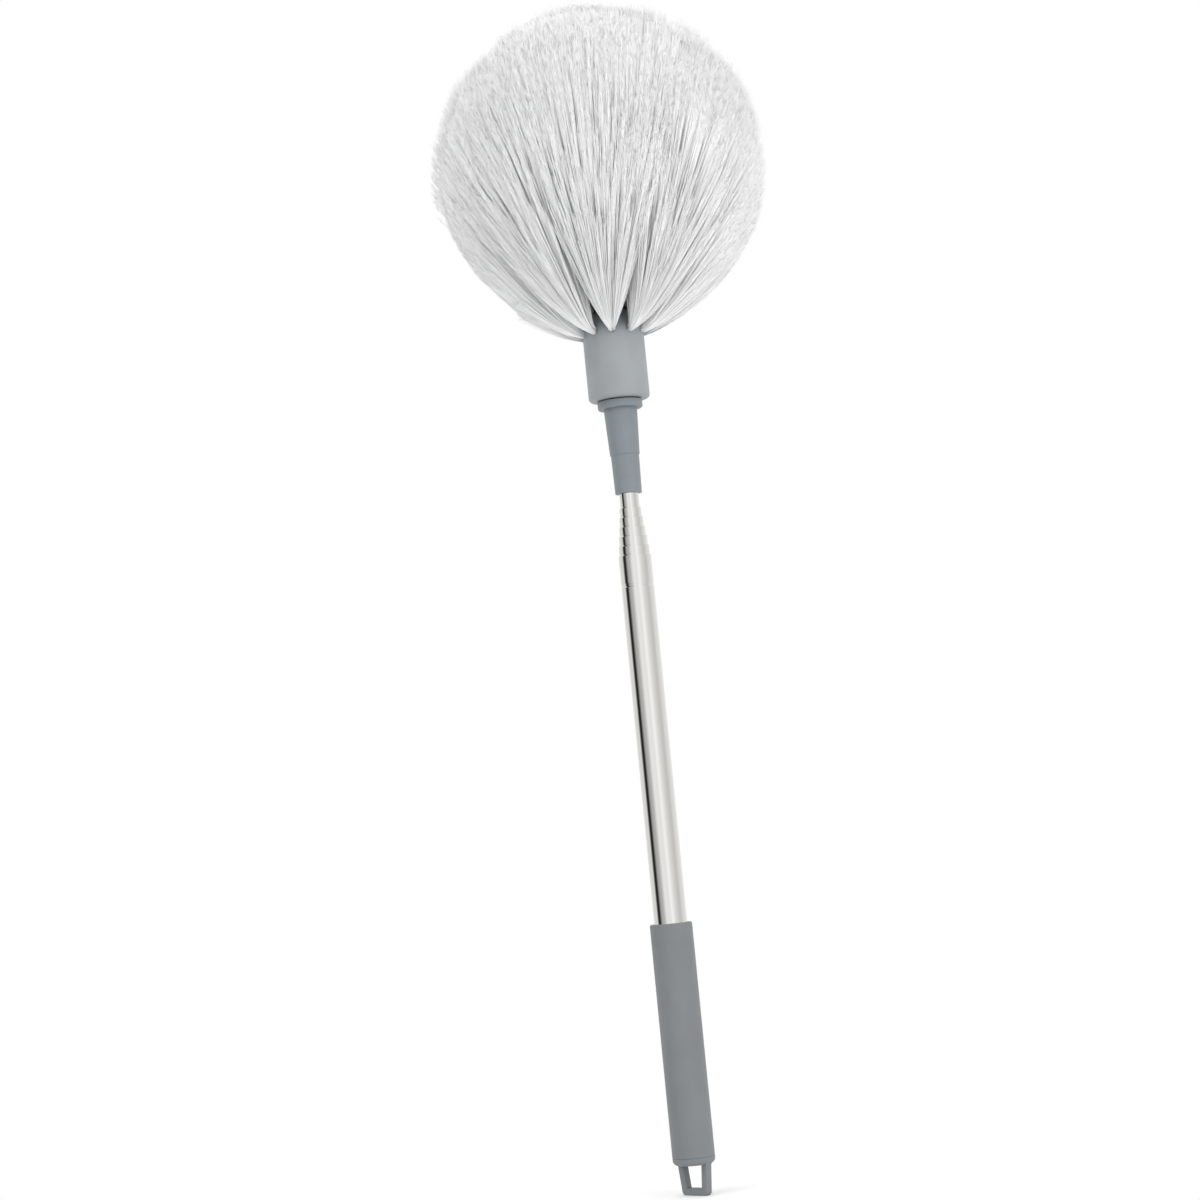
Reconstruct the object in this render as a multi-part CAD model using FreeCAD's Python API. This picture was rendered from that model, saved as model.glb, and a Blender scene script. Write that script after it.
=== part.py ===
import FreeCAD, Part

import math
import os

# Telescopic cobweb brush: a ball of splayed bristle tufts on a hub that screws onto a nested steel pole,
# with a plastic grip and a hanging loop at the bottom.
# Lengths are millimetres. +Z runs up the pole, and the origin is the foot of the hanging loop.

Vector = FreeCAD.Vector
ORIGIN = Vector(0, 0, 0)
UP = Vector(0, 0, 1)
ACROSS = Vector(0, 1, 0)
TOUCH = 1e-6               # lengths below this count as nothing

# Nested pole sections, numbered from the outermost
SECTION_COUNT = 7
OUTER_TUBE_DIAMETER = 22.0
OUTER_TUBE_LENGTH = 396.5
TUBE_WALL = 0.4
NEST_GAP = 0.35            # radial space between one section and the next
SLIDE_CLEARANCE = 0.05     # radial running clearance of whatever fills that space
MOUTH_STEP = 6.4           # how far each closed section stands out of the one around it
MOUTH_ROLL = 1.6           # length of the mouth that is rolled in
BEAD_BELOW_MOUTH = 20.4    # stop bead rolled into the wall
BEAD_WIDTH = 2.4
FOOT_FLARE = 1.5           # length of the flared foot of an inner section
REST_GAP = 0.3             # foot of the inner sections above the cap's plug
FRICTION_SLEEVE_LENGTH = 25.0
FRICTION_SLEEVE_SLOT = 2.0
SLEEVE_SEAT_GAP = 0.03     # radial, between a friction sleeve and the section it grips
SLEEVE_END_GAP = 0.2       # friction sleeve above the flared foot

# Grip and hanging cap
GRIP_LENGTH = 152.0
GRIP_WALL = 2.95
GRIP_CLEARANCE = 0.05
GRIP_TOP_ROUND = 1.0
EDGE_BREAK = 0.3           # small round on moulded edges
CAP_FLANGE_HEIGHT = 5.0
CAP_FLANGE_ROUND = 3.4
PLUG_LENGTH = 25.0
PLUG_CLEARANCE = 0.05
PLUG_CHAMFER = 1.5
LOOP_HEIGHT = 20.0
LOOP_THICKNESS = 5.4
LOOP_BAR = 4.8
LOOP_FOOT = 4.6
LOOP_INSET = 0.9           # shoulder of the loop inside the cap's rim
LOOP_DRAW_IN = 2.2         # how far each side leans in down to the foot
LOOP_CORNER_ROUND = 2.6
LOOP_EDGE_ROUND = 0.8
LOOP_ROOT = 2.0            # how far the loop runs up into the flange

# Connector from the innermost section to the hub
CONNECTOR_ABOVE_LAST_MOUTH = 9.6
TUBE_SOCKET_DEPTH = 28.0
TUBE_SOCKET_CLEARANCE = 0.03
TUBE_SOCKET_END_GAP = 0.2
COLLAR_LENGTH = 26.0
COLLAR_WALL = 2.4
COLLAR_TAPER = 0.5         # radius gained up the collar
NECK_STEP = 0.5            # radius gained where the neck begins
NECK_LENGTH = 31.0
NECK_TAPER = 1.3           # radius gained up the neck
FLANGE_OVERHANG = 3.8
FLANGE_HEIGHT = 5.4
FLANGE_ROUND = 1.4
SPIGOT_LENGTH = 28.0
SPIGOT_WALL = 3.0
SPIGOT_CHAMFER = 1.5

# Hub
HUB_WALL = 8.4             # between the screw socket and the outside of the barrel
HUB_WEB = 15.0             # solid part of the barrel above the socket
HUB_FOOT_ROUND = 2.6
HUB_SEAT_GAP = 0.6         # shadow gap between the hub and the connector's flange
THREAD_ROOM = 0.9          # radial room for the screw thread in the hub's socket
SOCKET_END_ROOM = 2.0

# Bristle tufts
HOLE_RADIUS = 2.8
HOLE_DEPTH = 6.0
TUFT_CLEARANCE = 0.15
TUFT_ROOT_GAP = 0.3        # tuft above the bottom of its hole
BALL_RADIUS = 109.0
BALL_ABOVE_RIM = 1.5       # lowest point of the ball above the hub's rim
UNTRIMMED_REACH = 30.0     # bristles this near the dome are never trimmed
ANCHOR_HEIGHT = 1.6
ANCHOR_THICKNESS = 0.6
ANCHOR_ABOVE_ROOT = 0.8
ANCHOR_CLEARANCE = 0.1
# A tuft leaves its hole straight, bends within about the length called straight, and spreads to an oval.
RIM_STRAIGHT = 19.0
UPPER_STRAIGHT = 28.0
INNER_STRAIGHT = 40.0
CROWN_STRAIGHT = 60.0
# Angles are degrees. hole_angle is measured from the pole's axis at the dome's centre, tip_angle from it at
# the ball's centre. From there a tuft's tip also takes up across_angle each way round the pole and
# along_angle each way down the ball.
TUFT_ROWS = (
    {"name": "tuft_rim", "count": 10, "first_azimuth": 25.0, "hole_angle": 87.0, "tip_angle": 96.0,
     "straight": RIM_STRAIGHT, "across_angle": 17.0, "along_angle": 12.5},
    {"name": "tuft_upper", "count": 10, "first_azimuth": 43.0, "hole_angle": 50.0, "tip_angle": 62.0,
     "straight": UPPER_STRAIGHT, "across_angle": 15.4, "along_angle": 12.5},
    {"name": "tuft_inner", "count": 5, "first_azimuth": 25.0, "hole_angle": 26.0, "tip_angle": 32.0,
     "straight": INNER_STRAIGHT, "across_angle": 16.0, "along_angle": 12.7},
    {"name": "tuft_crown", "count": 1, "first_azimuth": 0.0, "hole_angle": 0.0, "tip_angle": 0.0,
     "straight": CROWN_STRAIGHT, "across_angle": 13.8, "along_angle": 13.8},
)
TUFT_SECTIONS = 7          # ovals that a tuft is lofted through
TUFT_FLARE = 0.8           # power below 1, so that a tuft spreads most near its hole

# Radii and heights that follow from the sizes above
GRIP_RADIUS = OUTER_TUBE_DIAMETER / 2 + GRIP_CLEARANCE + GRIP_WALL
FLANGE_Z = LOOP_HEIGHT
GRIP_Z = FLANGE_Z + CAP_FLANGE_HEIGHT
FOOT_Z = GRIP_Z + PLUG_LENGTH + REST_GAP
OUTER_MOUTH_Z = GRIP_Z + OUTER_TUBE_LENGTH
FIT_THICKNESS = NEST_GAP - SLIDE_CLEARANCE


def section_radius(number):
    return OUTER_TUBE_DIAMETER / 2 - (number - 1) * (TUBE_WALL + NEST_GAP)


def mouth_z(number):
    return OUTER_MOUTH_Z + (number - 1) * MOUTH_STEP


TIP_RADIUS = section_radius(SECTION_COUNT)
CONNECTOR_Z = mouth_z(SECTION_COUNT - 1) + CONNECTOR_ABOVE_LAST_MOUTH
TUBE_SOCKET_RADIUS = TIP_RADIUS + TUBE_SOCKET_CLEARANCE
COLLAR_FOOT_RADIUS = TUBE_SOCKET_RADIUS + COLLAR_WALL
COLLAR_TOP_RADIUS = COLLAR_FOOT_RADIUS + COLLAR_TAPER
NECK_FOOT_RADIUS = COLLAR_TOP_RADIUS + NECK_STEP
NECK_TOP_RADIUS = NECK_FOOT_RADIUS + NECK_TAPER
FLANGE_RADIUS = NECK_TOP_RADIUS + FLANGE_OVERHANG
SCREW_SOCKET_RADIUS = NECK_TOP_RADIUS + THREAD_ROOM
HUB_RADIUS = SCREW_SOCKET_RADIUS + HUB_WALL
NECK_Z = CONNECTOR_Z + COLLAR_LENGTH
SEAT_Z = NECK_Z + NECK_LENGTH
SPIGOT_Z = SEAT_Z + FLANGE_HEIGHT
SPIGOT_TOP_Z = SPIGOT_Z + SPIGOT_LENGTH
HUB_Z = SPIGOT_Z + HUB_SEAT_GAP
SCREW_SOCKET_END_Z = SPIGOT_TOP_Z + SOCKET_END_ROOM
RIM_Z = SCREW_SOCKET_END_Z + HUB_WEB
BALL_Z = RIM_Z + BALL_ABOVE_RIM + BALL_RADIUS


def at(radius, z):
    """A point of a turned profile."""
    return Vector(radius, 0, z)


def line(start, end):
    return Part.LineSegment(start, end).toShape()


def arc(start, middle, end):
    return Part.Arc(start, middle, end).toShape()


def corner_round(corner, radius, radial, axial):
    """Quarter round at a square corner, as three points from the radial side to the axial side.
    radial and axial are +1 or -1 and point from the corner into the material."""
    middle = radius * (1 - math.sqrt(0.5))
    return (
        at(corner.x, corner.z + axial * radius),
        at(corner.x + radial * middle, corner.z + axial * middle),
        at(corner.x + radial * radius, corner.z),
    )


def turned(edges):
    """Solid of revolution about the pole's axis from the closed profile that the edges make."""
    face = Part.Face(Part.Wire(Part.sortEdges(edges)[0]))
    return face.revolve(ORIGIN, UP, 360)


def chain(*steps):
    """Closed profile through the steps: a point is joined to the last one by a line, and a (middle, end)
    pair by an arc."""
    edges = []
    first = last = steps[0]
    for step in steps[1:]:
        if isinstance(step, tuple):
            edges.append(arc(last, *step))
            last = step[1]
        else:
            edges.append(line(last, step))
            last = step
    edges.append(line(last, first))
    return edges


def wall_side(radius, foot, top, foot_grow, has_bead):
    """One side of a section's wall from its foot to its mouth, as steps of a profile."""
    if foot_grow:
        steps = [at(radius + foot_grow, foot), at(radius, foot + FOOT_FLARE)]
    else:
        steps = [at(radius, foot)]
    if not has_bead:
        return steps + [at(radius, top)]
    bead = top - BEAD_BELOW_MOUTH
    roll_turn = 1 - math.sqrt(0.5)
    return steps + [
        at(radius, bead - BEAD_WIDTH / 2),
        (at(radius - FIT_THICKNESS, bead), at(radius, bead + BEAD_WIDTH / 2)),
        at(radius, top - MOUTH_ROLL),
        (
            at(radius - FIT_THICKNESS * roll_turn, top - MOUTH_ROLL * roll_turn),
            at(radius - FIT_THICKNESS, top),
        ),
    ]


def reversed_steps(steps):
    """The same steps walked from the other end."""
    points = [step[1] if isinstance(step, tuple) else step for step in steps]
    walked = [points[-1]]
    for index in range(len(steps) - 1, 0, -1):
        step = steps[index]
        walked.append((step[0], points[index - 1]) if isinstance(step, tuple) else points[index - 1])
    return walked


def pole_section(number):
    """One thin steel tube. Every section but the innermost has a rolled mouth and a stop bead, and every
    section but the outermost has a flared foot that keeps its friction sleeve on."""
    inner_section = number > 1
    has_bead = number < SECTION_COUNT
    foot = FOOT_Z if inner_section else GRIP_Z
    top = mouth_z(number) if has_bead else CONNECTOR_Z + TUBE_SOCKET_DEPTH - TUBE_SOCKET_END_GAP
    grow = FIT_THICKNESS if inner_section else 0
    radius = section_radius(number)
    outside = wall_side(radius, foot, top, grow, has_bead)
    inside = wall_side(radius - TUBE_WALL, foot, top, grow, has_bead)
    return turned(chain(*outside, *reversed_steps(inside)))


def friction_sleeve(number):
    """Split spring sleeve round the foot of an inner section. It rubs in the section outside it."""
    inner = section_radius(number) + SLEEVE_SEAT_GAP
    outer = section_radius(number) + FIT_THICKNESS
    foot = FOOT_Z + FOOT_FLARE + SLEEVE_END_GAP
    ring = Part.makeCylinder(outer, FRICTION_SLEEVE_LENGTH, Vector(0, 0, foot))
    ring = ring.cut(Part.makeCylinder(inner, FRICTION_SLEEVE_LENGTH, Vector(0, 0, foot)))
    slot_corner = Vector(0, -FRICTION_SLEEVE_SLOT / 2, foot)
    slot = Part.makeBox(2 * outer, FRICTION_SLEEVE_SLOT, FRICTION_SLEEVE_LENGTH, slot_corner)
    return ring.cut(slot)


def section_travel(number):
    """How far a section slides out before its friction sleeve meets the stop bead outside it."""
    stop = mouth_z(number - 1) - BEAD_BELOW_MOUTH - BEAD_WIDTH / 2
    return stop - (FOOT_Z + FOOT_FLARE + SLEEVE_END_GAP + FRICTION_SLEEVE_LENGTH)


def grip_sleeve():
    """Plain plastic sleeve over the lower part of the outermost section."""
    bore = OUTER_TUBE_DIAMETER / 2 + GRIP_CLEARANCE
    top = GRIP_Z + GRIP_LENGTH
    seam = corner_round(at(GRIP_RADIUS, GRIP_Z), EDGE_BREAK, -1, 1)
    crown = corner_round(at(GRIP_RADIUS, top), GRIP_TOP_ROUND, -1, -1)
    return turned(chain(
        at(bore, GRIP_Z),
        seam[2],
        (seam[1], seam[0]),
        crown[0],
        (crown[1], crown[2]),
        at(bore, top),
    ))


def loop_outline(inset, foot, top):
    """Tapered outline of the loop in the XZ plane, drawn in all round by inset."""
    lean = LOOP_DRAW_IN / LOOP_HEIGHT
    shoulder = GRIP_RADIUS - LOOP_INSET - inset

    def half_width(z):
        return shoulder - lean * (LOOP_HEIGHT - z)

    return [
        at(-half_width(foot), foot),
        at(half_width(foot), foot),
        at(half_width(top), top),
        at(-half_width(top), top),
    ]


def plate(points, thickness):
    """Flat plate of that outline, centred on the XZ plane."""
    face = Part.Face(Part.makePolygon(points + points[:1]))
    solid = face.extrude(Vector(0, thickness, 0))
    solid.translate(Vector(0, -thickness / 2, 0))
    return solid


def edges_at(solid, wanted):
    return [edge for edge in solid.Edges if wanted(edge.BoundBox)]


def at_foot_corner(box):
    """Whether an edge runs through the loop's thickness at its foot."""
    return box.ZMax < TOUCH and box.XLength < TOUCH


def on_broad_face(box):
    """Whether an edge borders one of the loop's two broad faces, below the flange."""
    on_face = abs(abs(box.YMin) - LOOP_THICKNESS / 2) < TOUCH
    return box.YLength < TOUCH and on_face and box.ZMin < LOOP_HEIGHT - TOUCH


def hanging_loop():
    """Tapered flat loop with rounded corners and edges, whose two bars run up into the rounded flange."""
    loop = plate(loop_outline(0, 0, LOOP_HEIGHT), LOOP_THICKNESS)
    loop = loop.makeFillet(LOOP_CORNER_ROUND, edges_at(loop, at_foot_corner))
    loop = loop.cut(plate(loop_outline(LOOP_BAR, LOOP_FOOT, LOOP_HEIGHT), 2 * LOOP_THICKNESS))
    loop = loop.makeFillet(LOOP_EDGE_ROUND, edges_at(loop, on_broad_face))
    root_top = LOOP_HEIGHT + LOOP_ROOT
    root = plate(loop_outline(0, LOOP_HEIGHT, root_top), LOOP_THICKNESS)
    root_gap = plate(loop_outline(LOOP_BAR, LOOP_HEIGHT, root_top), 2 * LOOP_THICKNESS)
    return loop.fuse(root.cut(root_gap))


def hang_cap():
    """End cap: a plug in the outermost section, a rounded flange under the grip and the hanging loop."""
    plug_radius = OUTER_TUBE_DIAMETER / 2 - TUBE_WALL - PLUG_CLEARANCE
    plug_top = GRIP_Z + PLUG_LENGTH
    rim_round = min(CAP_FLANGE_ROUND, CAP_FLANGE_HEIGHT - 2 * EDGE_BREAK)
    rim = corner_round(at(GRIP_RADIUS, FLANGE_Z), rim_round, -1, 1)
    seam = corner_round(at(GRIP_RADIUS, GRIP_Z), EDGE_BREAK, -1, -1)
    plug = turned(chain(
        at(0, FLANGE_Z),
        rim[2],
        (rim[1], rim[0]),
        seam[0],
        (seam[1], seam[2]),
        at(plug_radius, GRIP_Z),
        at(plug_radius, plug_top - PLUG_CHAMFER),
        at(plug_radius - PLUG_CHAMFER, plug_top),
        at(0, plug_top),
    ))
    return plug.fuse(hanging_loop()).removeSplitter()


def pole_connector():
    """Moulded tip: a collar over the innermost section, a tapered neck, a flange and a hollow spigot."""
    lower = corner_round(at(FLANGE_RADIUS, SEAT_Z), FLANGE_ROUND, -1, 1)
    upper = corner_round(at(FLANGE_RADIUS, SPIGOT_Z), EDGE_BREAK, -1, -1)
    core = NECK_TOP_RADIUS - SPIGOT_WALL
    tube_end = CONNECTOR_Z + TUBE_SOCKET_DEPTH
    return turned(chain(
        at(TUBE_SOCKET_RADIUS, CONNECTOR_Z),
        at(COLLAR_FOOT_RADIUS, CONNECTOR_Z),
        at(COLLAR_TOP_RADIUS, NECK_Z - NECK_STEP),
        at(NECK_FOOT_RADIUS, NECK_Z),
        at(NECK_TOP_RADIUS, SEAT_Z),
        lower[2],
        (lower[1], lower[0]),
        upper[0],
        (upper[1], upper[2]),
        at(NECK_TOP_RADIUS, SPIGOT_Z),
        at(NECK_TOP_RADIUS, SPIGOT_TOP_Z - SPIGOT_CHAMFER),
        at(NECK_TOP_RADIUS - SPIGOT_CHAMFER, SPIGOT_TOP_Z),
        at(core, SPIGOT_TOP_Z),
        at(core, SPIGOT_Z),
        at(0, SPIGOT_Z),
        at(0, tube_end),
        at(TUBE_SOCKET_RADIUS, tube_end),
    ))


def dome_direction(angle):
    """Direction out of the dome in the XZ plane, at that angle in degrees from the pole's axis."""
    turn = math.radians(angle)
    return Vector(math.sin(turn), 0, math.cos(turn))


def dome_point(angle, depth):
    """Point on a hole's axis, that deep below the dome's surface."""
    return at(0, RIM_Z) + dome_direction(angle) * (HUB_RADIUS - depth)


def turned_copies(shape, row):
    """Copies of a shape round the pole's axis, one for each tuft of a row."""
    copies = []
    for index in range(row["count"]):
        copy = shape.copy()
        copy.rotate(ORIGIN, UP, row["first_azimuth"] + index * 360.0 / row["count"])
        copies.append(copy)
    return copies


def brush_hub():
    """Barrel with a screw socket below and a dome above, drilled with one blind hole for each tuft."""
    foot = corner_round(at(HUB_RADIUS, HUB_Z), HUB_FOOT_ROUND, -1, 1)
    turn = math.sqrt(0.5) * HUB_RADIUS
    hub = turned(chain(
        at(SCREW_SOCKET_RADIUS, HUB_Z),
        foot[2],
        (foot[1], foot[0]),
        at(HUB_RADIUS, RIM_Z),
        (at(turn, RIM_Z + turn), at(0, RIM_Z + HUB_RADIUS)),
        at(0, SCREW_SOCKET_END_Z),
        at(SCREW_SOCKET_RADIUS, SCREW_SOCKET_END_Z),
    ))
    holes = []
    for row in TUFT_ROWS:
        angle = row["hole_angle"]
        bottom = dome_point(angle, HOLE_DEPTH)
        hole = Part.makeCylinder(HOLE_RADIUS, 2 * HOLE_DEPTH, bottom, dome_direction(angle))
        holes += turned_copies(hole, row)
    return hub.cut(holes)


def square_to(place, normal):
    """Placement whose Z axis is the normal, a direction in the XZ plane, and whose Y axis stays."""
    return FreeCAD.Placement(place, FreeCAD.Rotation(ACROSS.cross(normal), ACROSS, normal, "ZYX"))


def oval(centre, normal, across, along):
    """Ellipse square to the normal. It starts in the XZ plane, so that lofts don't twist."""
    stretch = FreeCAD.Matrix()
    stretch.scale(along, across, 1)
    ring = Part.Wire(Part.makeCircle(1)).transformGeometry(stretch)
    ring.Placement = square_to(centre, normal)
    return ring


def anchor_box(angle, clearance):
    """Flat wire anchor across the root of a tuft, or the slot for it when given a clearance."""
    thickness = ANCHOR_THICKNESS + 2 * clearance
    length = 2 * (HOLE_RADIUS - ANCHOR_CLEARANCE)
    height = ANCHOR_HEIGHT + 2 * clearance
    corner = Vector(-thickness / 2, -length / 2, ANCHOR_ABOVE_ROOT - clearance)
    box = Part.makeBox(thickness, length, height, corner)
    box.Placement = square_to(dome_point(angle, HOLE_DEPTH - TUFT_ROOT_GAP), dome_direction(angle))
    return box


def tuft_spine(row, spare):
    """Points and directions along a tuft's bent axis in the XZ plane, up to spare beyond the ball."""
    start = dome_point(row["hole_angle"], 0)
    bend = start + dome_direction(row["hole_angle"]) * row["straight"]
    tip = at(0, BALL_Z) + dome_direction(row["tip_angle"]) * BALL_RADIUS
    end = tip + (tip - bend).normalize() * spare
    points = []
    directions = []
    for index in range(TUFT_SECTIONS):
        t = index / (TUFT_SECTIONS - 1)
        points.append(start * (1 - t) ** 2 + bend * (2 * t * (1 - t)) + end * t ** 2)
        directions.append(((bend - start) * (1 - t) + (end - bend) * t).normalize())
    return points, directions


def tuft_spread(row):
    """The free part of a tuft in the XZ plane: an oval cone on a bent axis, trimmed to the ball."""
    root_radius = HOLE_RADIUS - TUFT_CLEARANCE
    tip_across = BALL_RADIUS * math.sin(math.radians(row["across_angle"]))
    tip_along = BALL_RADIUS * math.sin(math.radians(row["along_angle"]))
    spare = 2 * tip_across
    points, directions = tuft_spine(row, spare)
    reach = [0.0]
    for here, there in zip(points, points[1:]):
        reach.append(reach[-1] + (there - here).Length)
    rings = []
    for point, direction, length in zip(points, directions, reach):
        share = (length / (reach[-1] - spare)) ** TUFT_FLARE
        across = root_radius + (tip_across - root_radius) * share
        along = root_radius + (tip_along - root_radius) * share
        rings.append(oval(point, direction, across, along))
    ball = Part.makeSphere(BALL_RADIUS, at(0, BALL_Z))
    near_hub = Part.makeSphere(HUB_RADIUS + UNTRIMMED_REACH, at(0, RIM_Z))
    return Part.makeLoft(rings, True, False).common(ball.fuse(near_hub))


def tuft(row):
    """One bundle of bristles in the XZ plane: its spread, and its slotted root in the hole."""
    depth = HOLE_DEPTH - TUFT_ROOT_GAP
    foot = dome_point(row["hole_angle"], depth)
    root = Part.makeCylinder(HOLE_RADIUS - TUFT_CLEARANCE, depth, foot, dome_direction(row["hole_angle"]))
    root = root.cut(anchor_box(row["hole_angle"], ANCHOR_CLEARANCE))
    return tuft_spread(row).fuse(root)


def brush_head():
    """The hub, every tuft by itself, and all the anchors as one group."""
    parts = {"brush_hub": brush_hub()}
    anchors = []
    for row in TUFT_ROWS:
        for index, copy in enumerate(turned_copies(tuft(row), row), 1):
            name = row["name"] if row["count"] == 1 else f"{row['name']}_{index:02d}"
            parts[name] = copy
        anchors += turned_copies(anchor_box(row["hole_angle"], 0), row)
    parts["tuft_anchors"] = Part.makeCompound(anchors)
    return parts


def all_parts():
    parts = {"hang_cap": hang_cap(), "grip_sleeve": grip_sleeve()}
    for number in range(1, SECTION_COUNT + 1):
        parts[f"pole_section_{number}"] = pole_section(number)
    for number in range(2, SECTION_COUNT + 1):
        parts[f"friction_sleeve_{number}"] = friction_sleeve(number)
    parts["pole_connector"] = pole_connector()
    parts.update(brush_head())
    return parts


def main():
    os.makedirs("parts", exist_ok=True)
    for name, shape in all_parts().items():
        shape.exportStep(f"parts/{name}.step")
        print(f"{name}: {len(shape.Solids)} solids, {shape.Volume / 1000:.2f} cm3, valid {shape.isValid()}")
    for number in range(2, SECTION_COUNT + 1):
        print(f"pole_section_{number} slides out {section_travel(number):.2f} mm to its stop")


main()
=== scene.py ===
import math

import bpy
import numpy as np
from mathutils import Matrix, Vector


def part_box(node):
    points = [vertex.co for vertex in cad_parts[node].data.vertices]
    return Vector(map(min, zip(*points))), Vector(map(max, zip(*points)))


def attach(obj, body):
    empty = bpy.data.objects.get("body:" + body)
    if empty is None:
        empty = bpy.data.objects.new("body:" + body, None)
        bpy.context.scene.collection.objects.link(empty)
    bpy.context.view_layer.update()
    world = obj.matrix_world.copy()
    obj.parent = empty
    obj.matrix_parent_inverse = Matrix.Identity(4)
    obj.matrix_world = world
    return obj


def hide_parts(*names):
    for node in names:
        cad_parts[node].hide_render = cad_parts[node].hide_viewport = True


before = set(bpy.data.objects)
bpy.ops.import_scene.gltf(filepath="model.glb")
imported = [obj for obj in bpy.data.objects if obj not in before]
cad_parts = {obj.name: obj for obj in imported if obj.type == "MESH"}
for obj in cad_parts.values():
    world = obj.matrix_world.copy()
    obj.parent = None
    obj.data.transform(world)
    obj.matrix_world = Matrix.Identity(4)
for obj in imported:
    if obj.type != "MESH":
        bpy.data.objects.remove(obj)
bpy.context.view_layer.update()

# Looks of the cobweb brush, in metres, in the frame of its solids. +Z runs up the pole.

RANDOM_SEED = 3

# Camera, fitted to the photograph's 1200 px frame
PHOTO_SIDE_PX = 1200
PHOTO_FOCAL_PX = 2740
SENSOR_WIDTH_MM = 36.0
CAMERA_DISTANCE = 1.8215
CAMERA_AZIMUTH = math.radians(45)
CAMERA_ELEVATION = math.radians(-5)
CAMERA_ROLL = math.radians(-5.527)
AIM_HEIGHT = 0.39395
AIM_SIDE = -0.02589

# Mouldings: colour and roughness, then the cloudy shade, uneven gloss and grain that they share
HANDLE_PLASTIC = ((0.171, 0.183, 0.189), 0.5)
CONNECTOR_PLASTIC = ((0.185, 0.208, 0.226), 0.45)
HUB_PLASTIC = ((0.275, 0.293, 0.306), 0.42)
SLEEVE_PLASTIC = ((0.72, 0.72, 0.70), 0.5)
CLOUD_SCALE = 45
CLOUD_DETAIL = 3
CLOUD_CONTRAST = 0.05
CLOUD_STOPS = (0.3, 0.7)        # noise values at which a cloud is darkest and lightest
GLOSS_SCALE = 130
GLOSS_DETAIL = 4
GLOSS_RANGE = (-0.05, 0.08)     # added to the roughness
GRAIN_SCALE = 2600
GRAIN_DETAIL = 2
GRAIN_DEPTH = 0.00004
GRAIN_STRENGTH = 0.35

# Steel, with fine lines from drawing along the pole
STEEL_COLOUR = (0.78, 0.77, 0.745)
STEEL_ROUGHNESS = (0.03, 0.07)
DRAWN_SCALE = 900
DRAWN_DETAIL = 3
DRAWN_STRETCH = (1, 1, 0.02)
DRAWN_DEPTH = 0.00002
DRAWN_STRENGTH = 0.08

# Ball of bristles. The rows repeat the solids' places and half widths. Each row's shade length is the
# length over which painted shade, standing for the dark of their hole and of the rows in front, fades out
# of the bristles.
BALL_RADIUS = 0.109
BALL_ABOVE_RIM = 0.0015
TUFT_ROWS = (
    {"name": "rim", "count": 10, "first_azimuth": 25.0, "hole_angle": 87.0, "tip_angle": 96.0,
     "straight": 0.019, "across_angle": 17.0, "along_angle": 12.5, "painted_shade_length": 0.011},
    {"name": "upper", "count": 10, "first_azimuth": 43.0, "hole_angle": 50.0, "tip_angle": 62.0,
     "straight": 0.028, "across_angle": 15.4, "along_angle": 12.5, "painted_shade_length": 0.045},
    {"name": "inner", "count": 5, "first_azimuth": 25.0, "hole_angle": 26.0, "tip_angle": 32.0,
     "straight": 0.040, "across_angle": 16.0, "along_angle": 12.7, "painted_shade_length": 0.055},
    {"name": "crown", "count": 1, "first_azimuth": 0.0, "hole_angle": 0.0, "tip_angle": 0.0,
     "straight": 0.060, "across_angle": 13.8, "along_angle": 13.8, "painted_shade_length": 0.055},
)
SPINE_STEPS = 90
BUNDLE_RADIUS = 0.0021          # bristles where they leave the hole
CLOSE_LENGTH = 0.003            # length over which a tuft stays as narrow as its hole
ROOT_DEPTH = 0.003              # how far a bristle starts below the dome's surface
MINGLING = (1.34, 1.4)          # how far tips spread past the solid's half widths, round and down the ball
CORNER_FILL = 1.0               # how far a tuft's outline goes from an ellipse to a rounded rectangle
TUFT_SWAY = 0.003               # how far a whole tuft leans from its place at the tip

# Strands: a tuft falls into a few locks of even length, and each lock into strands of some filaments.
# Places in a tuft are points of the unit disc.
LOCKS_PER_TUFT = 6
LOCK_RING = 0.8                 # how far out the locks' middles lie
LOCK_JITTER = 0.12
STRANDS_PER_TUFT = 330
STRAND_JITTER = 0.05
STRAND_WAVE = 0.0002
STRAND_WAVES = (0.4, 1.2)       # fewest and most waves over a strand's length
STRAND_RADIUS = 0.0016
FILAMENTS_PER_STRAND = 4
FILAMENT_SPREAD = 0.5           # of filaments in their strand, as a share of its radius
STRAND_OPENING = 0.25           # share of its length after which a strand is fully open
CLOSED_STRAND = 0.2             # its width at the hole, as a share of the open one

# Filaments, as thin tubes. Radii go by the share of the length.
FILAMENT_RADII = ((0.0, 0.00007), (0.06, 0.00009), (0.3, 0.0002), (1.0, 0.00016))
FILAMENT_RINGS = 11
RING_CROWDING = 1.3             # power above 1, so that rings lie closer together near the hole
FILAMENT_SIDES = 4

# Trimming of the tips
TIP_REACH = 0.003               # tips beyond the trimmed solids
TIP_ROUNDING = 0.002            # how much shorter the outside of a tuft is
ROUNDING_LIMIT = 1.2            # squared distance from the tuft's middle past which tips get no shorter
TUFT_LENGTH_SPREAD = 0.0022     # between one tuft and the next
LOCK_LENGTH_SPREAD = 0.0025
TIP_RAGGEDNESS = 0.0007

# Split ends of the filaments
FLAG_LENGTH = 0.006
FLAG_LENGTH_SHARES = (0.6, 1.3)  # shortest and longest, as shares of that length
FLAG_END_SPREAD = 0.0015
FLAG_OVERLAP = 0.3              # spine steps by which a split end starts inside its stem
FLAGS_PER_FILAMENT = 3
FLAG_RADII = (0.00009, 0.00005)
FLAG_RINGS = 2
FLAG_SIDES = 3
FLAG_SPREAD = 0.0004
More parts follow.
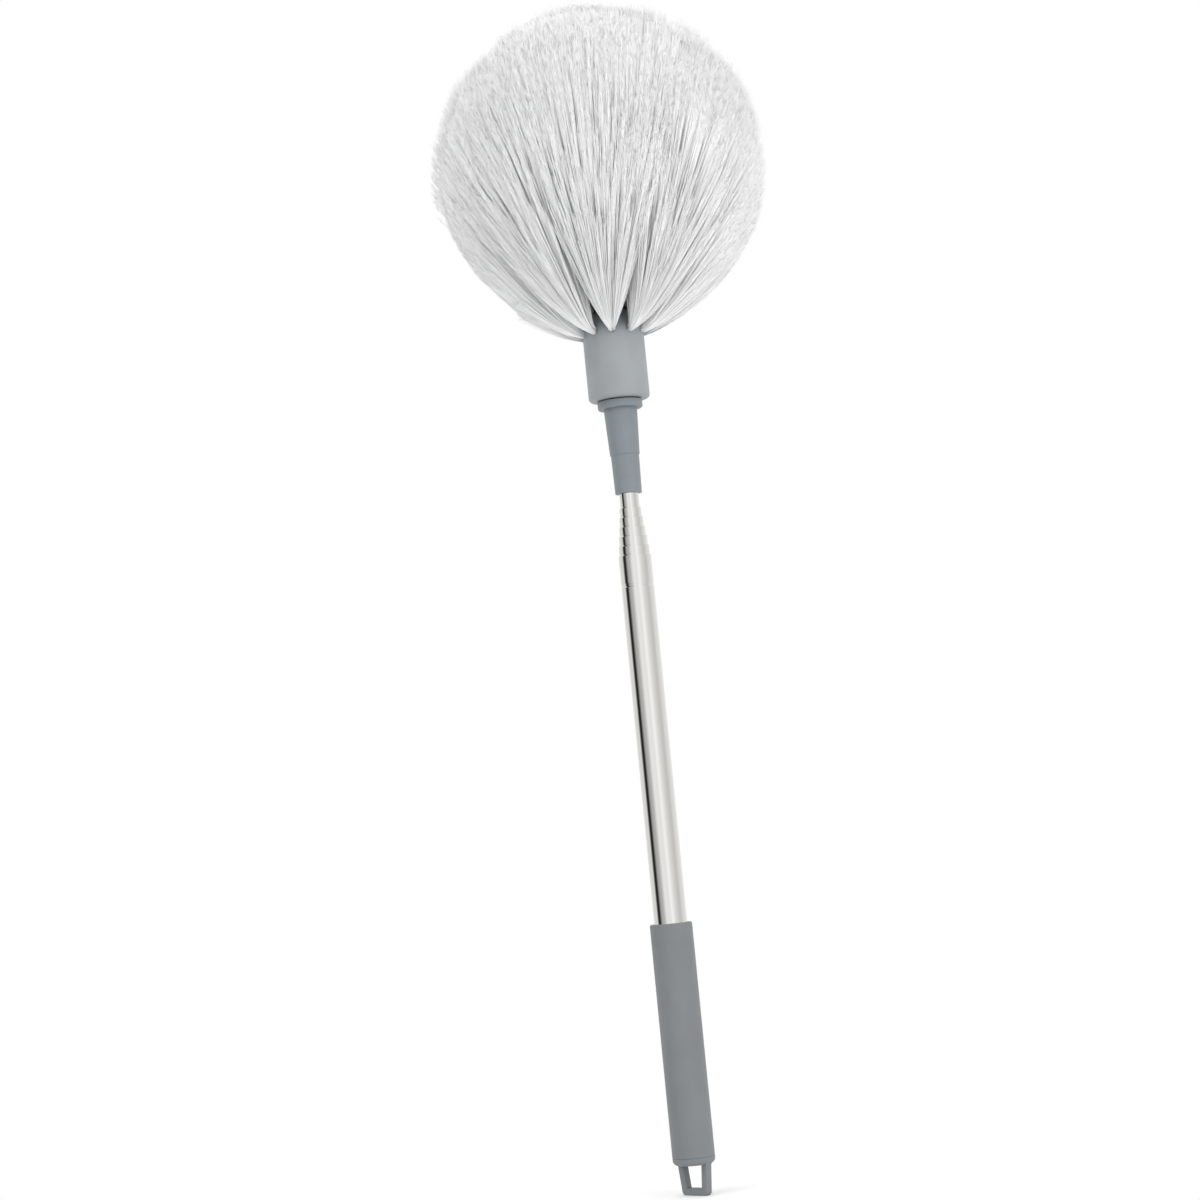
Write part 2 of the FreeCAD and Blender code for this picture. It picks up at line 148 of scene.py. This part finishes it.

# Shades of the bristles, of 0 dark to 1 light, and the greys that they stand for. Painted shade near the
# holes lowers them.
STRAND_TONE = 0.52
STRAND_TONE_SPREAD = 0.22
LOCK_TONE_SPREAD = 0.05
FILAMENT_TONE_SPREAD = 0.06
TIP_TONE = 0.62                 # all filaments come nearer to this shade at their tips
STEM_TONE_PULL = 0.45
FLAG_TONE_PULL = 0.6
# Painted shade: near its hole a bristle keeps only this share of its tone
TONE_KEPT_IN_PAINTED_SHADE = 0.15                # share of its tone that a bristle keeps in its hole
# the darkest grey serves both dark strands and the painted shade at the holes
BRISTLE_GREYS = ((0.0, 0.35), (0.3, 0.95), (0.7, 0.995))
BRISTLE_BLUE = 0.004            # added to the blue of each grey
BRISTLE_COLOUR = (0.95, 0.95, 0.955)
BRISTLE_ROUGHNESS = 0.38
BRISTLE_SPECULAR = 0.4

# Screw thread, on the spigot that the hub covers
SPIGOT_RADIUS = 0.01123
THREAD_Z = 0.5300
THREAD_PITCH = 0.004
THREAD_TURNS = 5
THREAD_RUNOUT = 0.25            # turns over which the ridge rises at each end
THREAD_STEPS = 241
THREAD_WIDTH = 0.0022
THREAD_CREST = 0.0009
THREAD_HEIGHT = 0.0006
THREAD_SINK = 0.0002            # foot of the ridge below the spigot's surface

# Stage
FLOOR_SIZE = 14.0
FLOOR_COLOUR = (0.93, 0.93, 0.93)
FLOOR_ROUGHNESS = 0.9
FLOOR_FADE = (0.03, 0.25)       # distance from the pole over which the floor runs out to white
WHITE = (1, 1, 1, 1)
WORLD_STRENGTH = 0.9
LAMP_AIM = (0, 0, 0.45)
LAMP_SIZE = (2.4, 2.4)
LAMPS = (
    {"name": "key_soft_box", "place": (1.7, 2.0, 1.5), "power": 34},
    {"name": "top_soft_box", "place": (-1.7, 0.9, 2.4), "power": 20},
)
WALL_PROFILE = ((0.25, 0.0), (1.2, 0.9), (1.2, 3.2))   # radius and height, from the foot up
WALL_PANELS = 72
# Greys of the reflector wall by bearing from the camera, in degrees, positive to the right
WALL_SHADES = ((-180, 1.0), (-150, 0.95), (-128, 0.83), (-101, 0.82), (-91, 0.14), (-86, 0.02), (-74, 0.02),
               (-68, 0.2), (-58, 0.48), (-42, 0.56), (-22, 1.0), (0, 0.96), (17, 1.14), (40, 0.87),
               (72, 0.67), (105, 0.85), (150, 1.0), (180, 1.0))

hub_low, hub_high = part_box("brush_hub")
HUB_RADIUS = (hub_high.x - hub_low.x) / 2
RIM_Z = hub_high.z - HUB_RADIUS
BALL_CENTRE = np.array([0, 0, RIM_Z + BALL_ABOVE_RIM + BALL_RADIUS])


# Materials

def new_material(name, colour, roughness, metallic=0.0):
    """A material with plain values on its shader, and the parts that its details hang on."""
    material = bpy.data.materials.new(name)
    material.use_nodes = True
    shader = material.node_tree.nodes["Principled BSDF"]
    shader.inputs["Base Color"].default_value = (*colour, 1)
    shader.inputs["Roughness"].default_value = roughness
    shader.inputs["Metallic"].default_value = metallic
    return material, material.node_tree.nodes, material.node_tree.links, shader


def noise(nodes, links, scale, detail, stretch=(1, 1, 1)):
    """Noise in the object's own space, drawn out along an axis by a small stretch there."""
    place = nodes.new("ShaderNodeTexCoord")
    mapping = nodes.new("ShaderNodeMapping")
    mapping.inputs["Scale"].default_value = stretch
    texture = nodes.new("ShaderNodeTexNoise")
    texture.inputs["Scale"].default_value = scale
    texture.inputs["Detail"].default_value = detail
    links.new(place.outputs["Object"], mapping.inputs["Vector"])
    links.new(mapping.outputs["Vector"], texture.inputs["Vector"])
    return texture.outputs["Fac"]


def between(nodes, links, factor, low, high):
    """A value that runs from low to high with a factor of 0 to 1."""
    spread = nodes.new("ShaderNodeMapRange")
    spread.inputs["To Min"].default_value = low
    spread.inputs["To Max"].default_value = high
    links.new(factor, spread.inputs["Value"])
    return spread.outputs["Result"]


def colour_ramp(nodes, links, factor, stops):
    """A colour that runs through stops of position and colour with a factor."""
    ramp = nodes.new("ShaderNodeValToRGB")
    elements = ramp.color_ramp.elements
    for position, _ in stops[1:-1]:
        elements.new(position)
    for element, (position, colour) in zip(elements, stops):
        element.position = position
        element.color = (*colour, 1)
    links.new(factor, ramp.inputs["Fac"])
    return ramp.outputs["Color"]


def bump(nodes, links, shader, height, distance, strength):
    node = nodes.new("ShaderNodeBump")
    node.inputs["Distance"].default_value = distance
    node.inputs["Strength"].default_value = strength
    links.new(height, node.inputs["Height"])
    links.new(node.outputs["Normal"], shader.inputs["Normal"])


def scaled(colour, factor):
    return tuple(channel * factor for channel in colour)


def moulded_plastic(name, colour, roughness):
    """Satin grey moulding: faint cloudy shade, uneven gloss and a fine spark-eroded grain."""
    material, nodes, links, shader = new_material(name, colour, roughness)
    shades = (scaled(colour, 1 - CLOUD_CONTRAST), scaled(colour, 1 + CLOUD_CONTRAST))
    cloud = noise(nodes, links, CLOUD_SCALE, CLOUD_DETAIL)
    cloudy = colour_ramp(nodes, links, cloud, tuple(zip(CLOUD_STOPS, shades)))
    links.new(cloudy, shader.inputs["Base Color"])
    patch = noise(nodes, links, GLOSS_SCALE, GLOSS_DETAIL)
    smooth, rough = (roughness + change for change in GLOSS_RANGE)
    links.new(between(nodes, links, patch, smooth, rough), shader.inputs["Roughness"])
    grain = noise(nodes, links, GRAIN_SCALE, GRAIN_DETAIL)
    bump(nodes, links, shader, grain, GRAIN_DEPTH, GRAIN_STRENGTH)
    return material


def polished_steel(name):
    """Bright drawn tube: fine lines along the pole in its gloss and surface."""
    material, nodes, links, shader = new_material(name, STEEL_COLOUR, STEEL_ROUGHNESS[1], 1.0)
    drawn = noise(nodes, links, DRAWN_SCALE, DRAWN_DETAIL, DRAWN_STRETCH)
    links.new(between(nodes, links, drawn, *STEEL_ROUGHNESS), shader.inputs["Roughness"])
    bump(nodes, links, shader, drawn, DRAWN_DEPTH, DRAWN_STRENGTH)
    return material


def bristle_material(name):
    """White filament: each a little lighter or darker than the next, and with painted shade that greys it
    near its hole.
    """
    material, nodes, links, shader = new_material(name, BRISTLE_COLOUR, BRISTLE_ROUGHNESS)
    tone_and_painted_shade = nodes.new("ShaderNodeAttribute")
    tone_and_painted_shade.attribute_name = "tone_and_painted_shade"
    stops = [(position, (grey, grey, grey + BRISTLE_BLUE)) for position, grey in BRISTLE_GREYS]
    links.new(colour_ramp(nodes, links, tone_and_painted_shade.outputs["Fac"], stops), shader.inputs["Base Color"])
    shader.inputs["Specular IOR Level"].default_value = BRISTLE_SPECULAR
    return material


def paint(node, material):
    """Give a CAD node a material."""
    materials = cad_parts[node].data.materials
    materials.clear()
    materials.append(material)


# Bristles

def dome_direction(angle):
    """Direction out of the dome in the meridian plane, as (outward, up)."""
    turn = math.radians(angle)
    return np.array([math.sin(turn), math.cos(turn)])


def tip_half_width(angle):
    """Half width that a tuft's tip has where it takes up that angle of the ball."""
    return BALL_RADIUS * math.sin(math.radians(angle))


def tuft_spine(row):
    """A tuft's middle line in the meridian plane, from inside its hole past its tip: points, tangents,
    the length up to each point from the dome's surface, and the length at which it has its full width."""
    out = dome_direction(row["hole_angle"])
    start = np.array([0, RIM_Z]) + out * HUB_RADIUS
    bend = start + out * row["straight"]
    tip = BALL_CENTRE[[0, 2]] + dome_direction(row["tip_angle"]) * BALL_RADIUS
    spare = 2 * tip_half_width(row["across_angle"])
    end = tip + (tip - bend) / np.linalg.norm(tip - bend) * spare
    t = np.linspace(0, 1, SPINE_STEPS)[:, None]
    free = start * (1 - t) ** 2 + bend * (2 * t * (1 - t)) + end * t ** 2
    points = np.vstack([start - out * ROOT_DEPTH, free])
    steps = np.diff(points, axis=0)
    reach = np.concatenate([[0], np.cumsum(np.linalg.norm(steps, axis=1))]) - ROOT_DEPTH
    tangents = np.gradient(points, axis=0)
    tangents /= np.linalg.norm(tangents, axis=1)[:, None]
    return points, tangents, reach, reach[-1] - spare


def sunflower(count):
    """Evenly spread points of the unit disc."""
    index = np.arange(count) + 0.5
    radius = np.sqrt(index / count)
    turn = index * math.pi * (3 - math.sqrt(5))
    return np.stack([radius * np.cos(turn), radius * np.sin(turn)], 1)


def strand_places(rng):
    """Where each strand sits in its tuft, and the lock that it belongs to."""
    places = sunflower(STRANDS_PER_TUFT)
    places = places + rng.normal(0, STRAND_JITTER, places.shape)
    locks = sunflower(LOCKS_PER_TUFT) * LOCK_RING
    locks = locks + rng.normal(0, LOCK_JITTER, locks.shape)
    lock = np.argmin(np.linalg.norm(places[:, None] - locks[None], axis=2), axis=1)
    places = places * (1 + CORNER_FILL * np.prod(places ** 2, axis=1, keepdims=True))
    return places, lock


def flared(angle, mingling, spread):
    """Half width of a tuft along its length, from its bundle in the hole out to its tip."""
    return BUNDLE_RADIUS + (tip_half_width(angle) * mingling - BUNDLE_RADIUS) * spread


def filament_offsets(row, reach, full, places, strand, rng):
    """How far each filament lies off its tuft's middle line along its length, in the meridian plane and
    across it."""
    share = np.clip(reach / full, 0, None)
    spread = np.clip((reach - CLOSE_LENGTH) / (full - CLOSE_LENGTH), 0, None)
    across = flared(row["across_angle"], MINGLING[0], spread)
    along = flared(row["along_angle"], MINGLING[1], spread)
    phase = rng.uniform(0, 2 * math.pi, (STRANDS_PER_TUFT, 2, 1))
    waves = rng.uniform(*STRAND_WAVES, (STRANDS_PER_TUFT, 2, 1))
    wave = STRAND_WAVE * np.sin(waves * 2 * math.pi * share + phase) * np.clip(share, 0, 1)
    lean = rng.normal(0, TUFT_SWAY, 2)[:, None] * share ** 2
    opening = np.clip(share / STRAND_OPENING, CLOSED_STRAND, 1)
    apart = rng.normal(0, FILAMENT_SPREAD, (len(strand), 2, 1)) * STRAND_RADIUS * opening
    in_plane = places[strand, :1] * along + wave[strand, 0] + lean[0] + apart[:, 0]
    off_plane = places[strand, 1:] * across + wave[strand, 1] + lean[1] + apart[:, 1]
    return in_plane, off_plane


def trim_limits(places, lock, strand, rng):
    """Distance from the ball's centre at which each filament is trimmed."""
    edge = np.clip((places ** 2).sum(1), 0, ROUNDING_LIMIT)[strand]
    limit = BALL_RADIUS + TIP_REACH + rng.normal(0, TUFT_LENGTH_SPREAD) - TIP_ROUNDING * edge
    limit = limit + rng.normal(0, LOCK_LENGTH_SPREAD, LOCKS_PER_TUFT)[lock][strand]
    return limit - np.abs(rng.normal(0, TIP_RAGGEDNESS, len(strand)))


def filament_tones(lock, strand, rng):
    """Shade of each filament, which goes mostly by its strand."""
    lock_tone = rng.normal(0, LOCK_TONE_SPREAD, LOCKS_PER_TUFT)[lock]
    strand_tone = rng.normal(STRAND_TONE, STRAND_TONE_SPREAD, STRANDS_PER_TUFT) + lock_tone
    return strand_tone[strand] + rng.normal(0, FILAMENT_TONE_SPREAD, len(strand))


def tuft_paths(row, rng):
    """Dense paths of one tuft's filaments about the XZ plane, the index at which each is trimmed, and
    their tones."""
    points, tangents, reach, full = tuft_spine(row)
    places, lock = strand_places(rng)
    strand = np.repeat(np.arange(STRANDS_PER_TUFT), FILAMENTS_PER_STRAND)
    in_plane, off_plane = filament_offsets(row, reach, full, places, strand, rng)
    paths = np.empty((len(strand), len(reach), 3))
    paths[:, :, 0] = points[:, 0] - tangents[:, 1] * in_plane
    paths[:, :, 1] = off_plane
    paths[:, :, 2] = points[:, 1] + tangents[:, 0] * in_plane
    limits = trim_limits(places, lock, strand, rng)
    ends = trimmed(np.linalg.norm(paths - BALL_CENTRE, axis=2) - limits[:, None])
    return paths, ends, filament_tones(lock, strand, rng)


def trimmed(beyond):
    """Index along each path, with its fraction, where it last leaves the trimming ball. A path that stays
    outside ends where it comes nearest."""
    inside = beyond < 0
    last = inside.shape[1] - 2 - np.argmax(inside[:, -2::-1], axis=1)
    rows = np.arange(len(beyond))
    here, there = beyond[rows, last], beyond[rows, last + 1]
    leaves = last + here / (here - there)
    return np.where(inside.any(axis=1), leaves, np.argmin(beyond, axis=1))


def at_index(paths, index):
    """Points of each path at fractional indices, one row of indices for each path."""
    low = np.clip(np.floor(index).astype(int), 0, paths.shape[1] - 2)
    part = (index - low)[:, :, None]
    rows = np.arange(len(paths))[:, None]
    return paths[rows, low] * (1 - part) + paths[rows, low + 1] * part


def tubes(paths, radii, sides):
    """Closed thin tubes along the paths, as vertices and a list of face arrays."""
    count, rings, _ = paths.shape
    tangents = np.gradient(paths, axis=1)
    tangents /= np.linalg.norm(tangents, axis=2)[:, :, None]
    side = np.cross(tangents, np.array([0.0, 1.0, 0.0]))
    side /= np.linalg.norm(side, axis=2)[:, :, None]
    other = np.cross(tangents, side)
    turn = np.arange(sides) * 2 * math.pi / sides
    ring = side[:, :, None] * np.cos(turn)[:, None] + other[:, :, None] * np.sin(turn)[:, None]
    vertices = paths[:, :, None] + ring * radii[:, :, None, None]
    number = np.arange(count * rings * sides).reshape(count, rings, sides)
    ahead = np.roll(number, -1, axis=2)
    quads = np.stack([number[:, :-1], ahead[:, :-1], ahead[:, 1:], number[:, 1:]], 3).reshape(-1, 4)
    roots = number[:, 0, ::-1]
    tips = number[:, -1]
    return vertices.reshape(-1, 3), [quads, roots, tips]


def filament_stems(paths, stem_ends, tones, painted_shade_length):
    """Filaments up to where they split: their lines, radii, sides and tones, darkened near the hole by
    painted shade.
    """
    share = np.linspace(0, 1, FILAMENT_RINGS) ** RING_CROWDING
    stems = at_index(paths, stem_ends[:, None] * share)
    radii = np.broadcast_to(np.interp(share, *zip(*FILAMENT_RADII)), stems.shape[:2])
    stem_tones = tones[:, None] + (TIP_TONE - tones[:, None]) * STEM_TONE_PULL * share ** 2
    # Painted shade: tone darkens towards the hole, for the dark of the hole and of the rows in front
    out_of_painted_shade = np.linalg.norm(stems - stems[:, :1], axis=2) / painted_shade_length
    return stems, radii, FILAMENT_SIDES, stem_tones * np.clip(out_of_painted_shade, TONE_KEPT_IN_PAINTED_SHADE, 1)


def split_ends(paths, stem_ends, ends, step, tones, rng):
    """Fine ends that the filaments split into: their lines, radii, sides and tones."""
    share = np.linspace(0, 1, FLAG_RINGS)
    stem = np.repeat(np.arange(len(paths)), FLAGS_PER_FILAMENT)
    flag_ends = ends[stem] + rng.normal(0, FLAG_END_SPREAD, len(stem)) / step[stem]
    begin = stem_ends[stem] - FLAG_OVERLAP
    flags = at_index(paths[stem], begin[:, None] + (flag_ends - begin)[:, None] * share)
    flags = flags + rng.normal(0, FLAG_SPREAD, (len(stem), 1, 3)) * share[None, :, None]
    radii = np.broadcast_to(np.linspace(*FLAG_RADII, FLAG_RINGS), flags.shape[:2])
    flag_tones = (1 - FLAG_TONE_PULL) * tones[stem] + FLAG_TONE_PULL * TIP_TONE
    return flags, radii, FLAG_SIDES, np.broadcast_to(flag_tones[:, None], flags.shape[:2])


def filament_tubes(paths, ends, tones, painted_shade_length, rng):
    """The stems of one tuft's filaments and their split ends."""
    step = np.linalg.norm(paths[:, -1] - paths[:, -2], axis=1)
    stem_ends = ends - FLAG_LENGTH * rng.uniform(*FLAG_LENGTH_SHARES, len(paths)) / step
    stems = filament_stems(paths, stem_ends, tones, painted_shade_length)
    return stems, split_ends(paths, stem_ends, ends, step, tones, rng)


def mesh_from_arrays(name, vertices, faces):
    """A smooth mesh from a vertex array and arrays of faces, each array with its own number of corners."""
    mesh = bpy.data.meshes.new(name)
    mesh.vertices.add(len(vertices))
    mesh.vertices.foreach_set("co", vertices.astype(np.float32).ravel())
    corners = np.concatenate([f.ravel() for f in faces])
    sizes = np.concatenate([np.full(len(f), f.shape[1]) for f in faces])
    mesh.loops.add(len(corners))
    mesh.loops.foreach_set("vertex_index", corners.astype(np.int32))
    mesh.polygons.add(len(sizes))
    mesh.polygons.foreach_set("loop_start", (np.cumsum(sizes) - sizes).astype(np.int32))
    mesh.polygons.foreach_set("use_smooth", np.ones(len(sizes), bool))
    mesh.update(calc_edges=True)
    return mesh


def turned(vertices, azimuth):
    """Vertices turned about the pole by an azimuth in degrees."""
    c, s = math.cos(math.radians(azimuth)), math.sin(math.radians(azimuth))
    return vertices @ np.array([[c, -s, 0], [s, c, 0], [0, 0, 1]]).T


def tuft_object(name, row, azimuth, rng):
    """One tuft of bristles as a mesh, turned to its place round the hub."""
    paths, ends, tones = tuft_paths(row, rng)
    vertices, faces, vertex_tones_and_painted_shade = [], [], []
    first = 0
    for lines, radii, sides, ring_tones_and_painted_shade in filament_tubes(paths, ends, tones, row["painted_shade_length"], rng):
        points, groups = tubes(lines, radii, sides)
        vertices.append(points)
        faces += [group + first for group in groups]
        vertex_tones_and_painted_shade.append(np.repeat(ring_tones_and_painted_shade.ravel(), sides))
        first += len(points)
    mesh = mesh_from_arrays(name, turned(np.vstack(vertices), azimuth), faces)
    # the tone attribute holds each filament's own tone with the painted shade near its hole
    attribute = mesh.attributes.new("tone_and_painted_shade", "FLOAT", "POINT")
    attribute.data.foreach_set("value", np.concatenate(vertex_tones_and_painted_shade).astype(np.float32))
    piece = bpy.data.objects.new(name, mesh)
    bpy.context.scene.collection.objects.link(piece)
    return piece


def make_bristles(material):
    rng = np.random.default_rng(RANDOM_SEED)
    for row in TUFT_ROWS:
        for index in range(row["count"]):
            suffix = row["name"] if row["count"] == 1 else f"{row['name']}_{index + 1:02d}"
            azimuth = row["first_azimuth"] + index * 360.0 / row["count"]
            piece = tuft_object(f"bristles_{suffix}", row, azimuth, rng)
            piece.data.materials.append(material)
            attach(piece, "head")
            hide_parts(f"tuft_{suffix}")


# Thread on the connector's spigot

def thread_mesh():
    """A helical ridge that lies in the room between the spigot and the hub's socket."""
    turns = np.linspace(0, THREAD_TURNS, THREAD_STEPS)
    angle = turns * 2 * math.pi
    rise = np.clip(np.minimum(turns, THREAD_TURNS - turns) / THREAD_RUNOUT, 0, 1)
    middle = THREAD_Z + turns * THREAD_PITCH
    foot, crest = THREAD_WIDTH / 2, THREAD_CREST / 2
    corners = []
    for height, offset in ((0.0, foot), (1.0, crest), (1.0, -crest), (0.0, -foot)):
        radius = SPIGOT_RADIUS - THREAD_SINK + (THREAD_HEIGHT + THREAD_SINK) * height * rise
        corners.append(np.stack([radius * np.cos(angle), radius * np.sin(angle), middle + offset], 1))
    vertices = np.stack(corners, 1).reshape(-1, 3)
    number = np.arange(len(vertices)).reshape(THREAD_STEPS, len(corners))
    ahead = np.roll(number, -1, axis=1)
    sides = np.stack([number[:-1], ahead[:-1], ahead[1:], number[1:]], 2).reshape(-1, 4)
    mesh = mesh_from_arrays("spigot_thread", vertices, [sides, number[:1], number[-1:, ::-1]])
    mesh.polygons.foreach_set("use_smooth", np.zeros(len(mesh.polygons), bool))
    return mesh


def make_thread(material):
    mesh = thread_mesh()
    mesh.materials.append(material)
    thread = bpy.data.objects.new("spigot_thread", mesh)
    bpy.context.scene.collection.objects.link(thread)
    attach(thread, "section_7")


# Stage

def stage_mesh(name, corners, faces):
    mesh = bpy.data.meshes.new(name)
    mesh.from_pydata(corners, [], faces)
    thing = bpy.data.objects.new(name, mesh)
    bpy.context.scene.collection.objects.link(thing)
    return thing


def any_ray_to_picture(nodes, links):
    """1 for rays from the camera, mirrors and glass, 0 for rays that only light things."""
    path = nodes.new("ShaderNodeLightPath")
    total = path.outputs["Is Camera Ray"]
    for kind in ("Is Glossy Ray", "Is Transmission Ray"):
        either = nodes.new("ShaderNodeMath")
        either.operation = "MAXIMUM"
        links.new(total, either.inputs[0])
        links.new(path.outputs[kind], either.inputs[1])
        total = either.outputs[0]
    return total


def floor_fade(nodes, links):
    """0 at the pole's foot to 1 out on the floor, for the rays that make the picture."""
    place = nodes.new("ShaderNodeTexCoord")
    distance = nodes.new("ShaderNodeVectorMath")
    distance.operation = "LENGTH"
    links.new(place.outputs["Object"], distance.inputs[0])
    fade = nodes.new("ShaderNodeMapRange")
    fade.interpolation_type = "SMOOTHSTEP"
    fade.inputs["From Min"].default_value = FLOOR_FADE[0]
    fade.inputs["From Max"].default_value = FLOOR_FADE[1]
    links.new(distance.outputs["Value"], fade.inputs["Value"])
    seen = nodes.new("ShaderNodeMath")
    seen.operation = "MULTIPLY"
    links.new(fade.outputs["Result"], seen.inputs[0])
    links.new(any_ray_to_picture(nodes, links), seen.inputs[1])
    return seen.outputs[0]


def make_floor():
    """Pale floor that keeps the shadow under the brush and runs out into the white background."""
    half = FLOOR_SIZE / 2
    corners = [(-half, -half, 0), (half, -half, 0), (half, half, 0), (-half, half, 0)]
    floor = stage_mesh("floor", corners, [(0, 1, 2, 3)])
    material, nodes, links, shader = new_material("floor_white", FLOOR_COLOUR, FLOOR_ROUGHNESS)
    white = nodes.new("ShaderNodeEmission")
    white.inputs["Color"].default_value = WHITE
    white.inputs["Strength"].default_value = 1.0
    mix = nodes.new("ShaderNodeMixShader")
    links.new(floor_fade(nodes, links), mix.inputs["Fac"])
    links.new(shader.outputs["BSDF"], mix.inputs[1])
    links.new(white.outputs["Emission"], mix.inputs[2])
    links.new(mix.outputs["Shader"], nodes["Material Output"].inputs["Surface"])
    floor.data.materials.append(material)


def make_world():
    """White to the camera and in reflections, softer as a light."""
    world = bpy.data.worlds.new("studio")
    bpy.context.scene.world = world
    world.use_nodes = True
    nodes, links = world.node_tree.nodes, world.node_tree.links
    seen = nodes["Background"]
    seen.inputs["Color"].default_value = WHITE
    seen.inputs["Strength"].default_value = 1.0
    light = nodes.new("ShaderNodeBackground")
    light.inputs["Color"].default_value = WHITE
    light.inputs["Strength"].default_value = WORLD_STRENGTH
    mix = nodes.new("ShaderNodeMixShader")
    links.new(any_ray_to_picture(nodes, links), mix.inputs["Fac"])
    links.new(light.outputs[0], mix.inputs[1])
    links.new(seen.outputs[0], mix.inputs[2])
    links.new(mix.outputs[0], nodes["World Output"].inputs["Surface"])


def camera_axes():
    """The camera's right, up and backward directions before its roll."""
    a, e = CAMERA_AZIMUTH, CAMERA_ELEVATION
    back = Vector((math.sin(a) * math.cos(e), -math.cos(a) * math.cos(e), math.sin(e)))
    right = Vector((math.cos(a), math.sin(a), 0))
    return right, back.cross(right), back


def make_camera():
    right, up, back = camera_axes()
    place = Vector((0, 0, AIM_HEIGHT)) + right * AIM_SIDE + back * CAMERA_DISTANCE
    rolled_right = right * math.cos(CAMERA_ROLL) + up * math.sin(CAMERA_ROLL)
    rolled_up = up * math.cos(CAMERA_ROLL) - right * math.sin(CAMERA_ROLL)
    data = bpy.data.cameras.new("photo_camera")
    data.sensor_width = SENSOR_WIDTH_MM
    data.lens = SENSOR_WIDTH_MM * PHOTO_FOCAL_PX / PHOTO_SIDE_PX
    camera = bpy.data.objects.new("photo_camera", data)
    rotation = Matrix((rolled_right, rolled_up, back)).transposed()
    camera.matrix_world = Matrix.Translation(place) @ rotation.to_4x4()
    bpy.context.scene.collection.objects.link(camera)
    bpy.context.scene.camera = camera


def studio_point(sideways, towards_camera, height):
    """A point named from the photograph's side: right of the pole, towards the camera, above the floor."""
    a = CAMERA_AZIMUTH
    right = Vector((math.cos(a), math.sin(a), 0))
    front = Vector((math.sin(a), -math.cos(a), 0))
    return right * sideways + front * towards_camera + Vector((0, 0, height))


def soft_box(name, place, power):
    """A square lamp that lights the brush and doesn't show in the steel."""
    data = bpy.data.lights.new(name, "AREA")
    data.shape = "RECTANGLE"
    data.size, data.size_y = LAMP_SIZE
    data.energy = power
    lamp = bpy.data.objects.new(name, data)
    lamp.location = studio_point(*place)
    lamp.rotation_euler = (Vector(LAMP_AIM) - lamp.location).to_track_quat("-Z", "Y").to_euler()
    lamp.visible_glossy = False
    bpy.context.scene.collection.objects.link(lamp)


def bearing_share(nodes, links):
    """Bearing from the camera's side about the pole, from 0 behind on the left to 1 behind on the right."""
    place = nodes.new("ShaderNodeTexCoord")
    facing = nodes.new("ShaderNodeMapping")
    facing.inputs["Rotation"].default_value = (0, 0, math.pi / 2 - CAMERA_AZIMUTH)
    parts = nodes.new("ShaderNodeSeparateXYZ")
    bearing = nodes.new("ShaderNodeMath")
    bearing.operation = "ARCTAN2"
    links.new(place.outputs["Object"], facing.inputs["Vector"])
    links.new(facing.outputs["Vector"], parts.inputs["Vector"])
    links.new(parts.outputs["Y"], bearing.inputs[0])
    links.new(parts.outputs["X"], bearing.inputs[1])
    share = nodes.new("ShaderNodeMapRange")
    share.inputs["From Min"].default_value = -math.pi
    share.inputs["From Max"].default_value = math.pi
    links.new(bearing.outputs[0], share.inputs["Value"])
    return share.outputs["Result"]


def reflector_material():
    """Plain glow whose greys change with the bearing from the camera's side."""
    material = bpy.data.materials.new("reflector_wall")
    material.use_nodes = True
    nodes, links = material.node_tree.nodes, material.node_tree.links
    stops = [(0.5 + angle / 360, (grey, grey, grey)) for angle, grey in WALL_SHADES]
    glow = nodes.new("ShaderNodeEmission")
    links.new(colour_ramp(nodes, links, bearing_share(nodes, links), stops), glow.inputs["Color"])
    links.new(glow.outputs["Emission"], nodes["Material Output"].inputs["Surface"])
    return material


def make_reflector():
    """A round studio wall that only mirrors see."""
    bearings = np.radians(np.linspace(WALL_SHADES[0][0], WALL_SHADES[-1][0], WALL_PANELS + 1))
    corners = [studio_point(math.sin(b) * radius, math.cos(b) * radius, height)
               for b in bearings for radius, height in WALL_PROFILE]
    rows = len(WALL_PROFILE)
    panels = [(rows * i + j, rows * (i + 1) + j, rows * (i + 1) + j + 1, rows * i + j + 1)
              for i in range(WALL_PANELS) for j in range(rows - 1)]
    wall = stage_mesh("reflector_wall", corners, panels)
    wall.data.materials.append(reflector_material())
    for kind in ("camera", "diffuse", "transmission", "volume_scatter", "shadow"):
        setattr(wall, f"visible_{kind}", False)


def paint_solids():
    handle = moulded_plastic("handle_grey", *HANDLE_PLASTIC)
    connector = moulded_plastic("connector_grey", *CONNECTOR_PLASTIC)
    hub = moulded_plastic("hub_grey", *HUB_PLASTIC)
    sleeve = moulded_plastic("sleeve_white", *SLEEVE_PLASTIC)
    steel = polished_steel("pole_steel")
    paint("hang_cap", handle)
    paint("grip_sleeve", handle)
    paint("pole_connector", connector)
    make_thread(connector)
    paint("brush_hub", hub)
    paint("tuft_anchors", steel)
    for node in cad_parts:
        if node.startswith("pole_section"):
            paint(node, steel)
        if node.startswith("friction_sleeve"):
            paint(node, sleeve)


bpy.context.scene.view_settings.view_transform = "Standard"
paint_solids()
make_bristles(bristle_material("bristle_white"))
make_floor()
make_world()
for lamp in LAMPS:
    soft_box(**lamp)
make_reflector()
make_camera()
